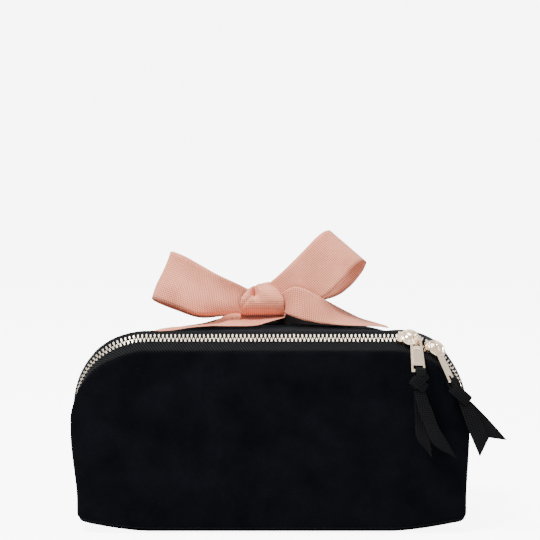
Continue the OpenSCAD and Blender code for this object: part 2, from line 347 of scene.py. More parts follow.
def weld(piece):
    """Joins the points that shrink together on a panel's middle line."""
    return modifier(piece, "WELD", merge_threshold=WELD_GAP)


def flat_shaded(piece):
    piece.data.polygons.foreach_set("use_smooth", [False] * len(piece.data.polygons))
    return piece


def catmull(points, steps):
    """A smooth curve through the points, with steps pieces a span."""
    pts = [Vector(p) for p in points]
    ext = [2 * pts[0] - pts[1]] + pts + [2 * pts[-1] - pts[-2]]
    out = []
    for i in range(1, len(ext) - 2):
        p0, p1, p2, p3 = ext[i - 1:i + 3]
        for k in range(steps):
            t = k / steps
            out.append(0.5 * (2 * p1 + (p2 - p0) * t + (2 * p0 - 5 * p1 + 4 * p2 - p3) * t * t
                              + (3 * p1 - p0 - 3 * p2 + p3) * t ** 3))
    out.append(pts[-1])
    return out


def ribbon_rows(edges, steps=8, across=8, cup=0.0, roll=0.0):
    """Rows of points of a ribbon between two edge lines in mm. cup bows it across its width, and roll
    waves it across its width, except at its ends and its middle."""
    upper = catmull([Vector(a) * MM for a, _ in edges], steps)
    lower = catmull([Vector(b) * MM for _, b in edges], steps)
    rows = []
    last = len(upper) - 1
    for i, (a, b) in enumerate(zip(upper, lower)):
        rolled = roll * abs(math.sin(2 * math.pi * i / last))
        ahead = upper[min(i + 1, last)] - upper[max(i - 1, 0)]
        normal = (b - a).cross(ahead).normalized()
        row = []
        for j in range(across + 1):
            t = j / across
            bow = cup * 4 * t * (1 - t) + rolled * math.sin(2 * math.pi * t)
            row.append(a.lerp(b, t) + normal * (bow * MM))
        rows.append(row)
    return rows


def ribbon(name, edges, mat, steps=8, across=8, cup=0.0, thick=0.35, roll=0.0):
    piece = grid_piece(name, ribbon_rows(edges, steps, across, cup, roll), mat)
    return thicken(piece, thick * MM)


def joined(name, pieces):
    """Several mesh objects made into one, with their modifiers applied."""
    bpy.context.view_layer.update()
    graph = bpy.context.evaluated_depsgraph_get()
    points, faces, uvs = [], [], []
    mat = pieces[0].data.materials[0]
    for piece in pieces:
        mesh = piece.evaluated_get(graph).to_mesh()
        base = len(points)
        spot = [(0.0, 0.0)] * len(mesh.vertices)
        if mesh.uv_layers:
            for loop in mesh.loops:
                spot[loop.vertex_index] = tuple(mesh.uv_layers[0].data[loop.index].uv)
        points += [piece.matrix_world @ v.co for v in mesh.vertices]
        faces += [[base + i for i in p.vertices] for p in mesh.polygons]
        uvs += spot
        bpy.data.objects.remove(piece)
    return add_mesh(name, points, faces, mat, uvs)


# ---------------- the bag's outline
BELLY_REACH = 48.6 * MM
DRAWN_IN = {-1: 3.9 * MM, 1: 1.8 * MM}
DRAW_TOP, DRAW_HEIGHT = 66 * MM, 48 * MM


def side_x(z, side):
    """Half width of the bag at a height below the corner arcs. The left side draws in more."""
    return ARC_X + BELLY_REACH - DRAWN_IN[side] * smooth((DRAW_TOP - z) / DRAW_HEIGHT)


END_LIFT = 6 * MM
LIFT_START, LIFT_LENGTH = 78 * MM, 42 * MM


def bottom_z(x):
    """The soft bottom edge lifts a little towards its two ends."""
    return END_LIFT * max(0.0, (abs(x) - LIFT_START) / LIFT_LENGTH) ** 1.5


def radial(turn, side):
    return Vector((side * math.sin(turn), 0, math.cos(turn)))


def turn_at(s):
    """How far round the corner arc the chain is at s, and how far down the side."""
    past = max(0.0, abs(s) - ARC_X)
    return min(math.pi / 2, past / CHAIN_R), max(0.0, past - ARC_LEN)


TURN_START, TURN_SPAN = math.radians(18), math.radians(68)


def turning(s):
    """0 while the chain lies on the front shoulder, 1 where it has turned on to the side face."""
    return smooth((turn_at(s)[0] - TURN_START) / TURN_SPAN)


def arc_point(s, radius):
    """The point of the outline at s that is radius away from the corner arc's centre."""
    side = -1 if s < 0 else 1
    turn, drop = turn_at(s)
    height = ARC_Z - drop
    pull_in = side_x(ARC_Z, side) - side_x(height, side)
    return Vector((side * min(abs(s), ARC_X), 0, height)) + radial(turn, side) * (radius - pull_in)


SIDE_SINK = 0.8 * MM        # how much nearer to the arc's centre the chain lies on the side face
SIDE_BACK = 2 * MM          # how much further back it lies there


def track(s, across=0.0, lift=0.0):
    """A point at s along the chain from the top middle, across it towards the back, and out of it."""
    side = -1 if s < 0 else 1
    share = turning(s)
    tilt = math.radians(45 + 45 * share)
    out = radial(turn_at(s)[0], side)
    centre = arc_point(s, CHAIN_R - SIDE_SINK * share)
    normal = out * math.sin(tilt) + FORWARD * math.cos(tilt)
    over = out * math.cos(tilt) - FORWARD * math.sin(tilt)
    return centre + FORWARD * (CHAIN_DEPTH - SIDE_BACK * share) + over * across + normal * lift


def track_frame(s):
    """Point, direction along, direction across and direction out of the chain at s."""
    step = 0.5 * MM
    along = (track(s + step) - track(s - step)).normalized()
    across = (track(s, step) - track(s, -step)).normalized()
    return track(s), along, across, along.cross(across)


CLOSE_LENGTH = 9 * MM
ZIP_END = TRACK_END + CLOSE_LENGTH
SIDE_SEAM = -5.4 * MM
SEAM_HEIGHT = 3.0 * MM


def closing(s):
    """0 along the zip, 1 below its end, where the two seams have met."""
    return smooth((abs(s) - TRACK_END) / CLOSE_LENGTH)


def front_seam(s):
    return SEAM_FRONT + (SIDE_SEAM - SEAM_FRONT) * turning(s)


def rear_seam(s):
    return SEAM_REAR + (SIDE_SEAM + 0.4 * MM - SEAM_REAR) * closing(s)


# Reach from the arc's centre, in mm: the front panel's edge on the side face and what it gains lower
# down, and the body behind the zip on top and what it loses on the side
EDGE_REACH, EDGE_GAIN = 46.9, 1.7
BODY_REACH, BODY_LOSS = 50.4, 1.8
# How far the body falls from the zip to the back, in mm: at the top's middle and at a corner, what
# the turn on to the side takes away, what the right side has less, and the least there is
SAG_MIDDLE, SAG_CORNER, SAG_SIDE, SAG_RIGHT, SAG_LEAST = 3, 10.5, 7, 1.8, 0.8
# Radius of the back edge in mm, what it loses below, and where along the outline it does so
BACK_ROUND, BACK_LOSS = 9, 5.5
BACK_CHANGE_FROM, BACK_CHANGE_OVER = TRACK_END - 45 * MM, 54 * MM


def body_sag(s, side, turn):
    """How far the body falls from the zip to the back, in mm."""
    corner = SAG_CORNER * math.cos(turn) - SAG_SIDE * math.sin(turn)
    along = abs(s) / ARC_X
    sag = SAG_MIDDLE + (corner - SAG_MIDDLE) * min(1.0, along) ** 4
    if side > 0:
        sag -= SAG_RIGHT * min(1.0, along ** 3)
    return max(SAG_LEAST, sag)


def zip_entry(s):
    """The bag's outline where the zip runs."""
    side = -1 if s < 0 else 1
    turn, _ = turn_at(s)
    out = radial(turn, side)
    share = turning(s)
    below = abs(s) - ARC_X - CHAIN_R * math.radians(80)
    on_side = (EDGE_REACH + EDGE_GAIN * smooth(below / (12 * MM))) * MM
    on_top = CHAIN_R + SEAM_FRONT * math.sqrt(0.5) + 0.3 * MM
    edge = arc_point(s, on_top * (1 - share) + on_side * share)
    edge.y = -HALF_D + 1.5 * MM + 0.9 * MM * share
    tuck = edge - out * (1.2 * MM * share)
    tuck.y = edge.y + 1.2 * MM
    if share > 0.98:
        tuck = track(s, front_seam(s)).lerp(tuck, 0.3)
    back = BACK_ROUND - BACK_LOSS * smooth((abs(s) - BACK_CHANGE_FROM) / BACK_CHANGE_OVER)
    return {"tuck": tuck, "edge": edge, "rear": track(s, rear_seam(s)), "out": out,
            "outer": arc_point(s, (BODY_REACH - BODY_LOSS * share) * MM), "wide": (1.5 + 6 * share) * MM,
            "sag": body_sag(s, side, turn) * MM, "back": back * MM, "grow": 9 * MM}


def low_entry(spot, out, up, rise=0.0):
    """The bag's outline below the zip: up is 1 on the side face and 0 along the bottom. The front panel
    stops above the bottom by the seam's height, which fades as rise goes to 1 up the side."""
    edge = spot + Vector((0, 0, SEAM_HEIGHT * (1 - rise)))
    edge.y = -HALF_D + 1.2 * MM + 1.2 * MM * up
    seam = edge + Vector((0, 0, 0.2 * MM)) - out * (MM * up)
    seam.y = edge.y + (2.4 - 1.4 * up) * MM
    return {"tuck": seam, "edge": edge, "rear": seam + Vector((0, 0.3 * MM, 0)), "outer": spot,
            "out": out, "wide": (2.0 + 5.5 * up) * MM, "sag": 0.8 * up * MM,
            "back": (2.6 + 0.9 * rise) * MM, "grow": (4 + 5 * up) * MM}


FOOT_Z, FOOT_RADIUS = 10 * MM, 4 * MM
BOTTOM_STEPS, FOOT_STEPS, SIDE_STEPS = 26, 7, 11


def low_side(side):
    """Entries from the bottom middle out to one side and up to the end of the zip."""
    foot_x = side_x(FOOT_Z, side) - FOOT_RADIUS
    found = []
    for k in range(BOTTOM_STEPS):
        x = foot_x * k / BOTTOM_STEPS
        found.append(low_entry(Vector((side * x, 0, bottom_z(x))), Vector((0, 0, -1)), 0.0))
    for k in range(FOOT_STEPS):
        a = math.pi / 2 * k / FOOT_STEPS
        out = Vector((side * math.sin(a), 0, -math.cos(a)))
        spot = Vector((side * foot_x, 0, FOOT_Z)) + out * FOOT_RADIUS
        found.append(low_entry(spot, out, k / FOOT_STEPS))
    top = arc_point(side * ZIP_END, 0).z
    for k in range(SIDE_STEPS):
        z = FOOT_Z + (top - FOOT_Z) * k / SIDE_STEPS
        spot = Vector((side * side_x(z, side), 0, z))
        found.append(low_entry(spot, Vector((side, 0, 0)), 1.0, k / SIDE_STEPS))
    return found


def loop_points():
    """The bag's outline seen from the front, once round from the bottom middle."""
    count = int(2 * ZIP_END / TOOTH_PITCH)
    arch = [zip_entry(ZIP_END - 2 * ZIP_END * k / count) for k in range(count + 1)]
    return low_side(1) + arch + low_side(-1)[:0:-1]


LOOP = loop_points()
SPINE_X = 62 * MM
SPINE_Z = 60 * MM
SWELL_HALF_W = HALF_W - MM
SWELL_HALF_H = TOP_Z / 2
WAVE_HEIGHT = 0.55 * MM
PUCKER_HEIGHT = 0.16 * MM


def spine(p):
    """The point on the middle line that a front or back panel's ring shrinks to."""
    return Vector((min(SPINE_X, max(-SPINE_X, p.x * 0.8)), 0, SPINE_Z))


def dome(p):
    """1 at the middle of the front or back, falling softly to 0 at its four sides."""
    across = min(1.0, abs(p.x) / SWELL_HALF_W)
    upward = min(1.0, abs(p.z - SPINE_Z) / SWELL_HALF_H)
    return (1 - across ** 4) * (1 - upward ** 4)


def panel_row(edge, wide, y, bulge, steps, sign, depth=0.0, seed=0.0):
    """Points of a crowned panel from its rounded edge to its middle line. sign is -1 on the front."""
    middle = spine(edge)
    reach = Vector((edge.x - middle.x, 0, edge.z - middle.z))
    length = reach.length
    row = []
    for d in steps:
        inward = min(d * MM, length)
        r = 1 - inward / length
        level = math.sqrt(max(0.0, 1 - max(0.0, 1 - inward / wide) ** 2))
        flat = middle + reach * r
        swell = bulge * dome(flat) * level
        wave = WAVE_HEIGHT * ripple(flat.x, y, flat.z, seed) * smooth(inward / (14 * MM))
        pucker = PUCKER_HEIGHT * math.sin(edge.x * 700 + edge.z * 560) * math.exp(-((d - 4) / 3.5) ** 2)
        base_y = edge.y + (y - edge.y) * level
        row.append(Vector((flat.x, base_y + sign * (swell + wave + pucker - depth), flat.z)))
    return row


# How far in from the edge each ring of a panel lies, in mm
RING_STEPS = [0, 0.25, 0.7, 1.5, 2.6, 4.2, 6.5, 9.5, 13, 17, 21.5, 26, 31, 36, 41, 46, 51, 56, 62, 70, 95]
FRONT_SWELL, BACK_SWELL = 2.0 * MM, 1.6 * MM
FOAM_DEPTH, FOAM_THICK = 3.2 * MM, 2 * MM


def blend_at_fold(piece):
    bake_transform(piece)


def front_velvet():
    rows = [[e["tuck"]] + panel_row(e["edge"], e["wide"], -HALF_D, FRONT_SWELL, RING_STEPS, -1, seed=1.3)
            for e in LOOP]
    piece = grid_piece("front_velvet", rows, MATS["velvet"], close_rows=True)
    weld(piece)
    blend_at_fold(piece)
    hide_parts("flap_panel", "lower_front_panel")


# How far behind the zip's rear seam each ring of the body lies, in mm
BODY_STEPS = [0, 0.4, 1.0, 2.0, 3.5, 5.5, 8, 11.5, 16, 22, 29, 37, 46, 56, 66, 76]
ROUND_STEPS = 8


def body_row(e, depth=0.0):
    """Points from the rear seam of the zip over the bag to its back face, at one outline entry."""
    out, rear = e["out"], e["rear"]
    row = []
    stop = HALF_D - e["back"]
    rear_in = (e["outer"] - rear).dot(out)
    calm = 0 if out.z < -0.7 else 1
    for d in BODY_STEPS:
        y = min(rear.y + d * MM, stop - (BODY_STEPS[-1] - d) * 0.1 * MM)
        share = math.sin(math.pi / 2 * min(1.0, d * MM / e["grow"]))
        lip = 0.9 * MM * math.exp(-(d / 0.5) ** 2)
        t = max(0.0, min(1.0, (y + 40 * MM) / (83 * MM)))
        inset = rear_in * (1 - share) + e["sag"] * t ** 1.15 + lip + depth
        soft = 0.5 * MM * ripple(e["outer"].x, y, e["outer"].z, 4.2) * share * calm
        point = e["outer"] - out * (inset - soft)
        point.y = y
        row.append(point)
    side = e["outer"] - out * e["sag"]
    for k in range(ROUND_STEPS + 1):
        a = math.pi / 2 * k / ROUND_STEPS
        point = side - out * (e["back"] * (1 - math.cos(a)) + depth * math.cos(a))
        point.y = stop + e["back"] * math.sin(a) - depth * math.sin(a)
        row.append(point)
    return row


def body_rows(depth=0.0):
    """Rows round the outline, each running from the body's front edge over to the middle of the back."""
    rows = []
    for e in LOOP:
        edge = e["outer"] - e["out"] * (e["back"] + e["sag"])
        edge.y = HALF_D
        inner = panel_row(edge, 1e-6, HALF_D, BACK_SWELL, RING_STEPS[3:], 1, depth, 7.7)
        row = body_row(e, depth)
        if not depth:
            row[-1].y -= 0.8 * MM
        rows.append(row + inner)
    return rows


def body_velvet():
    piece = grid_piece("body_velvet", body_rows(), MATS["velvet"], close_rows=True)
    weld(piece)
    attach(piece, "root")
    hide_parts("back_panel", "top_gusset", "left_side_panel", "right_side_panel",
                "bottom_panel")


# ---------------- lining, foam and board
def body_lining():
    rows = body_rows(WALL)
    for row, e in zip(rows, LOOP):
        row[0] = e["rear"] - e["out"] * (0.9 * MM) + Vector((0, 0.3 * MM, 0))
    piece = grid_piece("body_lining_cloth", rows, MATS["lining"], close_rows=True)
    weld(piece)
    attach(piece, "root")
    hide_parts("back_lining", "gusset_lining", "left_side_lining", "right_side_lining",
                "bottom_lining")


def front_lining():
    rows = []
    for e in LOOP:
        inner = e["edge"] - e["out"] * (1.0 * MM)
        inner.y += 2.5 * MM
        rows.append([e["tuck"] + Vector((0, 0.2 * MM, 0))]
                    + panel_row(inner, e["wide"], -HALF_D, FRONT_SWELL, RING_STEPS[4:], -1, WALL, 1.3))
    piece = grid_piece("front_lining_cloth", rows, MATS["lining"], close_rows=True)
    weld(piece)
    blend_at_fold(piece)
    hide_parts("flap_lining", "lower_front_lining")


def body_foam():
    rows = [row[8:-1] for row in body_rows(FOAM_DEPTH)]
    piece = thicken(grid_piece("body_foam", rows, MATS["foam"], close_rows=True), FOAM_THICK)
    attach(piece, "root")
    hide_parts("back_foam", "gusset_foam", "left_side_foam", "right_side_foam")


def front_foam():
    rows = [panel_row(e["edge"], e["wide"], -HALF_D, FRONT_SWELL, RING_STEPS[7:-1], -1, FOAM_DEPTH, 1.3)
            for e in LOOP]
    piece = thicken(grid_piece("front_foam", rows, MATS["foam"], close_rows=True), FOAM_THICK)
    blend_at_fold(piece)
    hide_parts("flap_foam", "lower_front_foam")


def base_board():
    low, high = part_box("base_board")
    half_x, half_y, corner = high.x - 20 * MM, high.y - 8 * MM, 14 * MM
    outline = []
    for cx, cy, start in ((1, 1, 0), (-1, 1, 90), (-1, -1, 180), (1, -1, 270)):
        for k in range(7):
            a = math.radians(start + 15 * k)
            outline.append(Vector((cx * (half_x - corner) + corner * math.cos(a),
                                   cy * (half_y - corner) + corner * math.sin(a), low.z)))
    piece = add_mesh("base_board_sheet", outline, [list(range(len(outline)))], MATS["board"])
    thicken(piece, high.z - low.z, 1.0)
    modifier(piece, "BEVEL", width=0.4 * MM, segments=2)
    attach(piece, "root")
    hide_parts("base_board")


# ---------------- zip
def opened(s):
    """How far a row stands off the closed line, between the two sliders only."""
    ramp = min((s - SLIDER_AT[1] + 2 * MM) / (8 * MM), (SLIDER_AT[2] + 2 * MM - s) / (8 * MM))
    return OPEN_GAP * max(0.0, min(1.0, ramp))


TAPE_STEPS = 250
TAPE_THICK = 0.7 * MM
TAPE_INNER = 1.1 * MM       # from the chain's middle to the tape's inner edge


def zip_tape(name, way, seam):
    """Half of the zip's tape, from the bead under the teeth to the seam."""
    rows = []
    for k in range(TAPE_STEPS + 1):
        s = -ZIP_END + 2 * ZIP_END * k / TAPE_STEPS
        inner = way * (TAPE_INNER + opened(s)) * (1 - closing(s)) + seam(s) * closing(s)
        outer = seam(s) - way * 0.3 * MM
        row = []
        for t in (0, 0.06, 0.14, 0.3, 0.5, 0.75, 1):
            bead = 0.35 * MM * math.exp(-(t / 0.09) ** 2)
            sag = 0.25 * MM * math.sin(math.pi * t) + 0.12 * MM * math.sin(s * 330) * t * (1 - t) * 4
            row.append(track(s, inner * (1 - t) + outer * t, bead - sag))
        rows.append(row)
    piece = grid_piece(name, rows, MATS["tape"])
    thicken(piece, TAPE_THICK)
    return piece


def box_mesh(points, faces, low, high, axes, origin, bevel):
    """Adds a block with chamfered ends to growing lists of points and faces. Its sizes are in mm."""
    base = len(points)
    low, high, bevel = [v * MM for v in low], [v * MM for v in high], bevel * MM
    along, across, out = axes
    for x, shrink in ((low[0], bevel), (low[0] + bevel, 0), (high[0] - bevel, 0), (high[0], bevel)):
        for y, z in ((low[1], low[2]), (high[1], low[2]), (high[1], high[2]), (low[1], high[2])):
            y += shrink if y == low[1] else -shrink
            z += shrink if z == low[2] else -shrink
            points.append(origin + along * x + across * y + out * z)
    for ring in range(base, base + 12, 4):
        for k in range(4):
            beside = (k + 1) % 4
            faces.append((ring + k, ring + beside, ring + 4 + beside, ring + 4 + k))
    faces.append((base + 3, base + 2, base + 1, base))
    faces.append((base + 12, base + 13, base + 14, base + 15))


# Two far corners of a tooth's leg and head and of a stop: along, across and out of the chain, in mm.
# A leg sits on the tape, and a head reaches past the middle between two teeth of the other row.
LEG = ((-0.56, 0.9, -1.0), (0.56, 2.9, 1.05))
HEAD = ((-0.42, -0.35, -0.7), (0.42, 1.1, 0.5))
STOP = ((-1.6, -2.8, -0.4), (1.6, 2.8, 1.6))


def teeth(name, way, first, cad):
    """A row of metal teeth: each a leg clamped on the tape's bead and a narrower head."""
    points, faces = [], []
    s = first
    while s < TRACK_END - MM:
        _, along, across, out = track_frame(s)
        origin = track(s, way * opened(s))
        axes = (along, across, out) if way > 0 else (-along, -across, out)
        box_mesh(points, faces, *LEG, axes, origin, bevel=0.16)
        box_mesh(points, faces, *HEAD, axes, origin, bevel=0.2)
        s += TOOTH_PITCH
    piece = flat_shaded(add_mesh(name, points, faces, MATS["teeth"]))
    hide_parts(cad)
    return piece


def zip_stops():
    for side, cad in ((-1, "left_zip_stop"), (1, "right_zip_stop")):
        points, faces = [], []
        origin, *axes = track_frame(side * (TRACK_END - 0.2 * MM))
        box_mesh(points, faces, *STOP, axes, origin, bevel=0.35)
        piece = add_mesh(cad + "_clip", points, faces, MATS["teeth"])
        modifier(piece, "BEVEL", width=0.2 * MM, segments=2)
        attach(piece, "root")
        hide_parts(cad)


def make_zip():
    front = zip_tape("front_tape", -1, front_seam)
    blend_at_fold(front)
    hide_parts("front_zip_tape")
    rear = zip_tape("rear_tape", 1, rear_seam)
    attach(rear, "root")
    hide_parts("rear_zip_tape")
    blend_at_fold(teeth("front_teeth", -1, -TRACK_END + MM, "front_zip_teeth"))
    row = teeth("rear_teeth", 1, -TRACK_END + MM + TOOTH_PITCH / 2, "rear_zip_teeth")
    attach(row, "root")
    zip_stops()


# ---------------- sliders and pulls
def slider_matrix(number):
    """Carries x along the chain, y across it and z out of it, at the slider's place."""
    spot, along, across, out = track_frame(SLIDER_AT[number])
    turn = Matrix((along, across, out)).transposed().to_4x4()
    return Matrix.Translation(spot) @ turn


def curve_plate(name, outline, holes, thick, bevel):
    """A flat plate cut from an outline with holes, with rounded edges. Points are x, y in metres."""
    curve = bpy.data.curves.new(name, "CURVE")
    curve.dimensions = "2D"
    curve.fill_mode = "BOTH"
    curve.extrude = thick / 2 - bevel
    curve.bevel_depth = bevel
    curve.bevel_resolution = 2
    curve.offset = -bevel
    for points in [outline, *holes]:
        spline = curve.splines.new("POLY")
        spline.points.add(len(points) - 1)
        for p, (x, y) in zip(spline.points, points):
            p.co = (x, y, 0, 1)
        spline.use_cyclic_u = True
    holder = linked(name + "_curve", curve)
    graph = bpy.context.evaluated_depsgraph_get()
    mesh = bpy.data.meshes.new_from_object(holder.evaluated_get(graph))
    bpy.data.objects.remove(holder)
    mesh.materials.clear()
    mesh.materials.append(MATS["metal"])
    return flat_shaded(linked(name, mesh))


def rounded(corners, radius, steps=5):
    """A polygon in metres from its corners and a radius in mm, each corner cut to an arc."""
    corners = [Vector(corner) * MM for corner in corners]
    radius *= MM
    out = []
    for i, here in enumerate(corners):
        before = (corners[i - 1] - here).normalized()
        after = (corners[(i + 1) % len(corners)] - here).normalized()
        half = before.angle(after) / 2
        reach = radius / math.tan(half)
        start, stop = here + before * reach, here + after * reach
        centre = here + (before + after).normalized() * radius / math.sin(half)
        a, b = start - centre, stop - centre
        for k in range(steps + 1):
            out.append(tuple(centre + a.lerp(b, k / steps).normalized() * radius))
    return out


def tapered(top, foot, radius):
    """A rounded four-sided outline from (half width, y) at its top and at its foot, in mm."""
    (top_x, top_y), (foot_x, foot_y) = top, foot
    return rounded([(-top_x, top_y), (-foot_x, foot_y), (foot_x, foot_y), (top_x, top_y)], radius)


def lathe(name, profile, steps=40):
    """A round piece about z from (radius, height) pairs in mm."""
    turns = [2 * math.pi * k / steps for k in range(steps)]
    rows = [[Vector((r * math.cos(a), r * math.sin(a), h)) * MM for a in turns] for r, h in profile]
    return grid_piece(name, rows, MATS["metal"], close_cols=True)


# One side of a slider's plate, from its narrow end to its wide end, and a flange's far corners, in mm
PLATE_SIDE = [(-7.2, 3.4), (0.5, 4.5), (4.6, 4.7), (7, 2.6)]
PLATE_Z, PLATE_THICK = 1.9 * MM, 1.2 * MM
FLANGE = ((-7, 3.0, -2.3), (-1.5, 3.9, 2.3))


def slider_plates(number):
    """The two plates with turned-in flanges, and the wedge between them that parts the teeth."""
    outline = rounded([(x, -y) for x, y in PLATE_SIDE] + PLATE_SIDE[::-1], 0.8)
    parts = []
    for z in (PLATE_Z, -PLATE_Z):
        plate = curve_plate("plate", outline, [], PLATE_THICK, 0.25 * MM)
        plate.matrix_world = Matrix.Translation((0, 0, z))
        parts.append(plate)
    wedge = [(3 * MM, 0), (6.8 * MM, -1.1 * MM), (6.8 * MM, 1.1 * MM)]
    parts.append(curve_plate("wedge", wedge, [], 2.8 * MM, 0.1 * MM))
    for side in (-1, 1):
        points, faces = [], []
        axes = (Vector((1, 0, 0)), Vector((0, side, 0)), Vector((0, 0, side)))
        box_mesh(points, faces, *FLANGE, axes, Vector(), bevel=0.25)
        parts.append(add_mesh("flange", points, faces, MATS["metal"]))
    piece = joined("slider_plates_%d" % number, parts)
    turn = Matrix.Rotation(0 if number == 1 else math.pi, 4, "Z")
    piece.data.transform(slider_matrix(number) @ turn)
    flat_shaded(piece)
    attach(piece, "slider_%d" % number)
    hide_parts("slider_%d_body" % number)


# The crown's outline from its foot over its rim to its middle, as (radius, height) in mm
CROWN_PROFILE = [(5.7, 2.3), (6.1, 2.9), (6.15, 3.7), (5.85, 4.3), (5.4, 4.5), (4.95, 4.35), (4.65, 3.9),
                 (4.5, 3.7), (4.3, 3.75), (3.7, 4.5), (2.6, 5.1), (1.3, 5.4), (0.02, 5.5)]
CROWN_FOOT = [(5.6, 2.3), (0.02, 2.3)]
CROWN_SHIFT = {1: 0.6 * MM, 2: 0}


def slider_dome(number):
    """The round crown on the slider: a ring with a domed middle and the eye that holds the pull."""
    top = lathe("dome", CROWN_PROFILE)
    base = lathe("base", CROWN_FOOT)
    shift = Matrix.Translation((CROWN_SHIFT[number], 0, 0))
    for part in (top, base):
        part.data.transform(slider_matrix(number) @ shift)
    pin, bar, _, _ = pull_axes(number)
    ring = eye_ring(pin, bar)
    piece = joined("slider_crown_%d" % number, [top, base, ring])
    weld(piece)
    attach(piece, "slider_%d" % number)
    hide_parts("slider_%d_crown" % number)


def eye_ring(pin, bar, radius=2.3, half_thick=0.6, half_long=1.3, steps=24, around=10):
    """A round eye about the pull's hinge line, with sizes in mm."""
    across = Vector((0, 0, 1)).cross(bar).normalized()
    up = bar.cross(across)
    rows = []
    for k in range(steps):
        a = 2 * math.pi * k / steps
        spoke = across * math.cos(a) + up * math.sin(a)
        row = []
        for q in range(around):
            b = 2 * math.pi * q / around
            row.append(pin + spoke * (radius + half_thick * math.cos(b)) * MM
                       + bar * (half_long * math.sin(b)) * MM)
        rows.append(row)
    return grid_piece("eye", rows, MATS["metal"], close_rows=True, close_cols=True)


def pull_axes(number):
    """The pull's hinge point, its bar's direction, the way it hangs and the way it faces."""
    swing = JOINTS["pull_%d_swing" % number]
    eye = Vector(JOINTS["tassel_%d_swing" % number]["pos_m"])
    pin = Vector(swing["pos_m"])
    bar = -Vector(swing["axis"]).normalized()
    down = (eye - pin).normalized()
    return pin, bar, down, down.cross(bar)


PULL_TWIST = {1: 0, 2: 32}
PULL_LENGTH = 24.9


def pull_tab(number):
    """A plain tapered tab: bar and window at the top, raised panel, ribbon slot at the foot."""
    pin, bar, down, face = pull_axes(number)
    outline = tapered((3.6, 1.0), (4.6, -PULL_LENGTH), 0.7)
    window = tapered((2.2, -0.75), (2.3, -6.6), 0.5)
    slot = tapered((3.1, 4.8 - PULL_LENGTH), (3.2, 1.9 - PULL_LENGTH), 0.4)
    raised = tapered((2.7, -8.0), (3.2, 6.4 - PULL_LENGTH), 0.5)
    plate = curve_plate("plate", outline, [window, slot], 1.3 * MM, 0.22 * MM)
    panel = curve_plate("panel", raised, [], 1.62 * MM, 0.2 * MM)
    piece = joined("pull_tab_%d" % number, [plate, panel])
    turn = Matrix((bar, -down, face)).transposed().to_4x4()
    twist = Matrix.Rotation(math.radians(PULL_TWIST[number]), 4, "Y")
    piece.data.transform(Matrix.Translation(pin) @ turn @ twist)
    flat_shaded(piece)
    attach(piece, "pull_%d" % number)
    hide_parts("pull_%d" % number)


# ---------------- tassels
def band(name, centre, axis, side, up, radii, width, mat, thick=0.4, wobble=0.0):
    """A closed band of ribbon about axis. radii are along side and up, in mm."""
    rows = []
    for k in range(36):
        a = 2 * math.pi * k / 36
        grow = 1 + wobble * math.sin(3 * a + 0.7)
        spoke = side * (radii[0] * math.cos(a) * grow) + up * (radii[1] * math.sin(a) * grow)
        row = []
        for j in range(7):
            t = j / 6 * 2 - 1
            puff = 1 + 0.10 * (1 - t * t)
            row.append(centre + spoke * puff * MM + axis * (t * width / 2 * MM))
        rows.append(row)
    piece = grid_piece(name, rows, mat, close_rows=True)
    return thicken(piece, thick * MM)


# The two edges of each tassel tail, from the knot down to the slanting cut, in mm
TAIL_EDGES = {
    (1, "a"): [((90.1, -62.8, 92.3), (95.2, -62.6, 92.3)), ((90.6, -63.2, 86.7), (96.6, -62.8, 84.9)),
               ((91.2, -63.4, 77.2), (98.4, -62.8, 75)), ((92.1, -63.2, 63.2), (101, -62.6, 61)),
               ((98.2, -62.8, 54.6), (101.8, -62.6, 50.4))],
    (1, "b"): [((90.3, -65.0, 92.6), (96.9, -64.8, 93.5)), ((91.2, -65.8, 87.6), (99.3, -65.2, 86.9)),
               ((93.1, -66.2, 80.1), (102.4, -65.4, 78.8)), ((96.6, -66.4, 71.3), (105.6, -65.6, 69.9)),
               ((101.7, -66, 60.1), (111, -65.4, 61)), ((107.4, -65.6, 55.3), (116.9, -65, 50.5))],
    (2, "a"): [((118, -61, 87), (126.2, -61, 85.4)), ((121.4, -62, 76.9), (129.9, -62, 78.5)),
               ((125.2, -62.3, 66.8), (134, -62.2, 70.9)), ((132.3, -61.8, 50.2), (138.2, -61.8, 62.9))],
    (2, "b"): [((119.9, -59.5, 87.4), (126.7, -59.2, 85.1)), ((127.4, -59.6, 76.6), (134.6, -58.8, 77.1)),
               ((133.6, -59.6, 67.7), (142, -58.6, 69.1)), ((137.8, -59.4, 62.2), (149.6, -58.4, 60.4))],
}
# Each band of a tassel's knot: middle, direction in the x z plane, radii along and out of it, width
KNOT_WRAPS = {
    1: [((93.6, -64.6, 99.4), (0.78, 0.63), (5.4, 3.0), 6.0),
        ((93.2, -64.6, 97.2), (0.84, -0.54), (5.0, 2.6), 6.2)],
    2: [((119.6, -60.4, 90.1), (0.755, -0.656), (6.7, 2.8), 7.0)],
}
LOOP_SHIFT = {1: 1.2, 2: 0.4}


